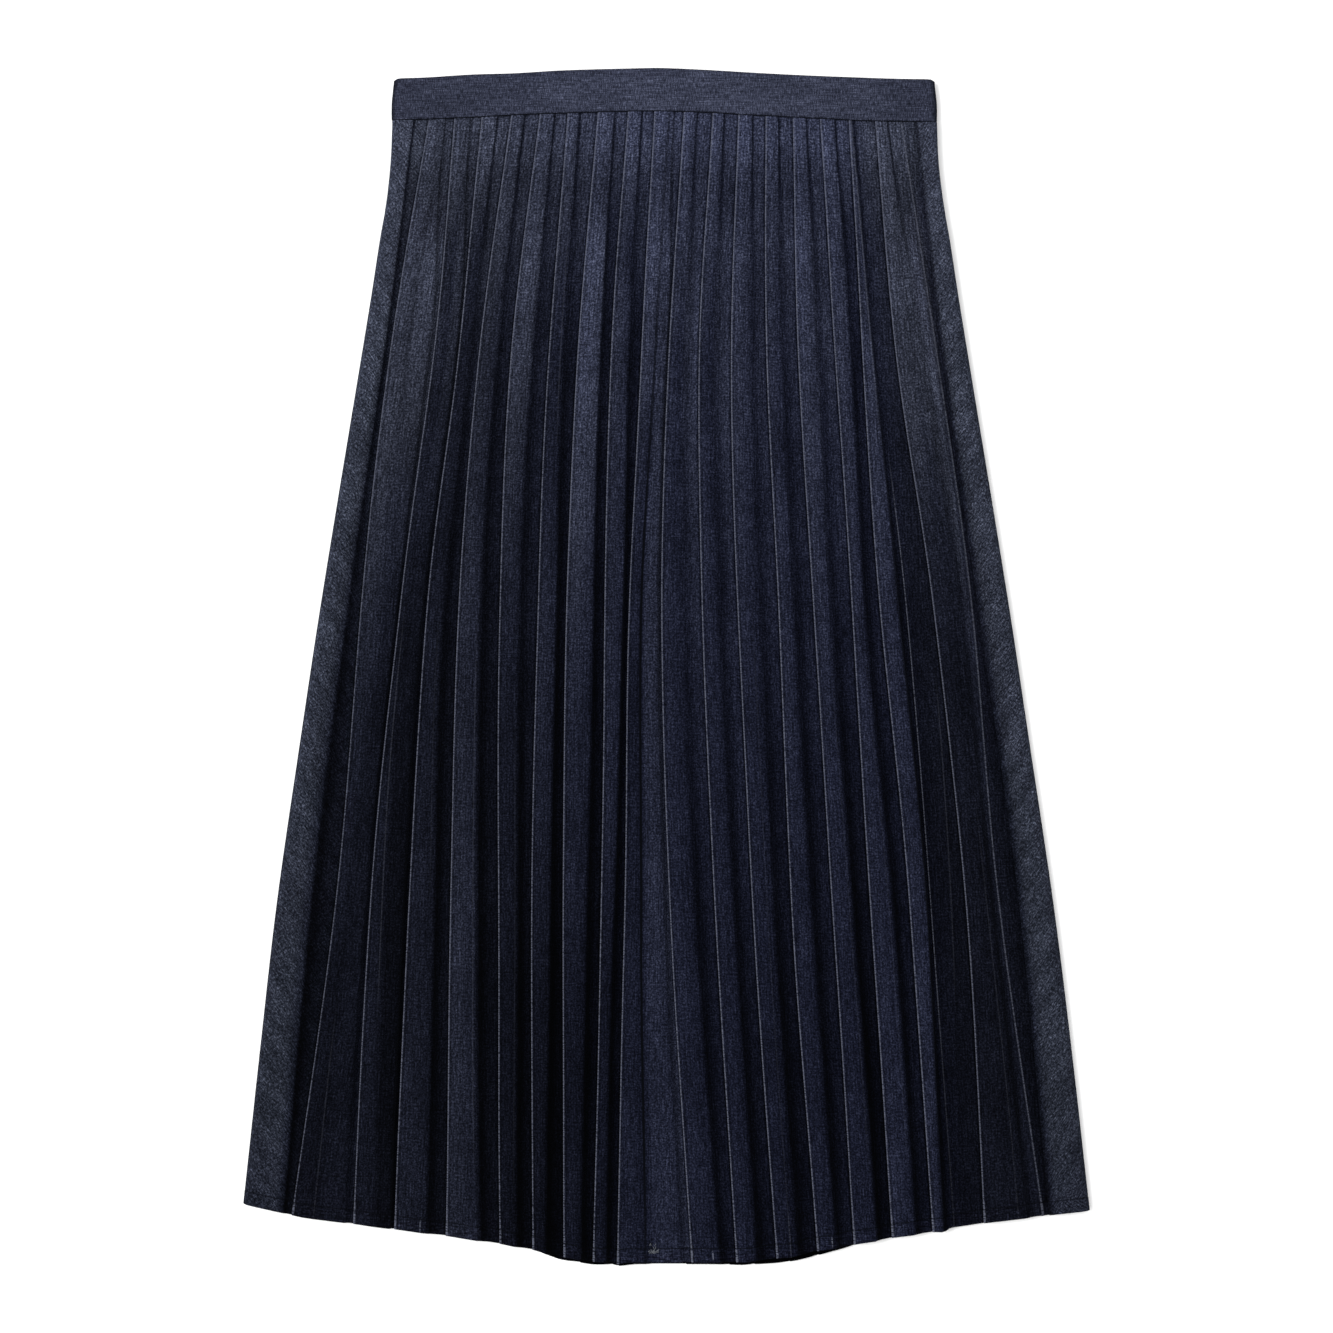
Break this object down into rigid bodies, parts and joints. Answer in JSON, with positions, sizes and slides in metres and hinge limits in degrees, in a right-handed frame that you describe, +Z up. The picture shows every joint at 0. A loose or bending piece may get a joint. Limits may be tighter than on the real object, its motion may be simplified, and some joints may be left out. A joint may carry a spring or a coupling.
{
  "type": "pleated midi skirt",
  "caption": "A-line midi skirt of dark indigo cloth in pressed knife pleats under a plain waistband, laid flat on its back.",
  "frame": {"origin": "centre of the bounding box's underside, on the surface that the skirt lies on", "axes": "+Y along the skirt towards the waist, +X to the right seen from the front, +Z up out of the front panel"},
  "size_m": [0.5764, 0.814, 0.0111],
  "materials": {
    "cloth": "matt dark indigo yarn-dyed twill, heathered, with pale pressed pleat lines",
    "band": "the same cloth on a stiffener, smooth and a little lighter"
  },
  "bodies": {
    "root": {"skirt_front": "cloth", "skirt_back": "cloth", "waistband_front": "band", "waistband_back": "band"}
  },
  "joints": []
}
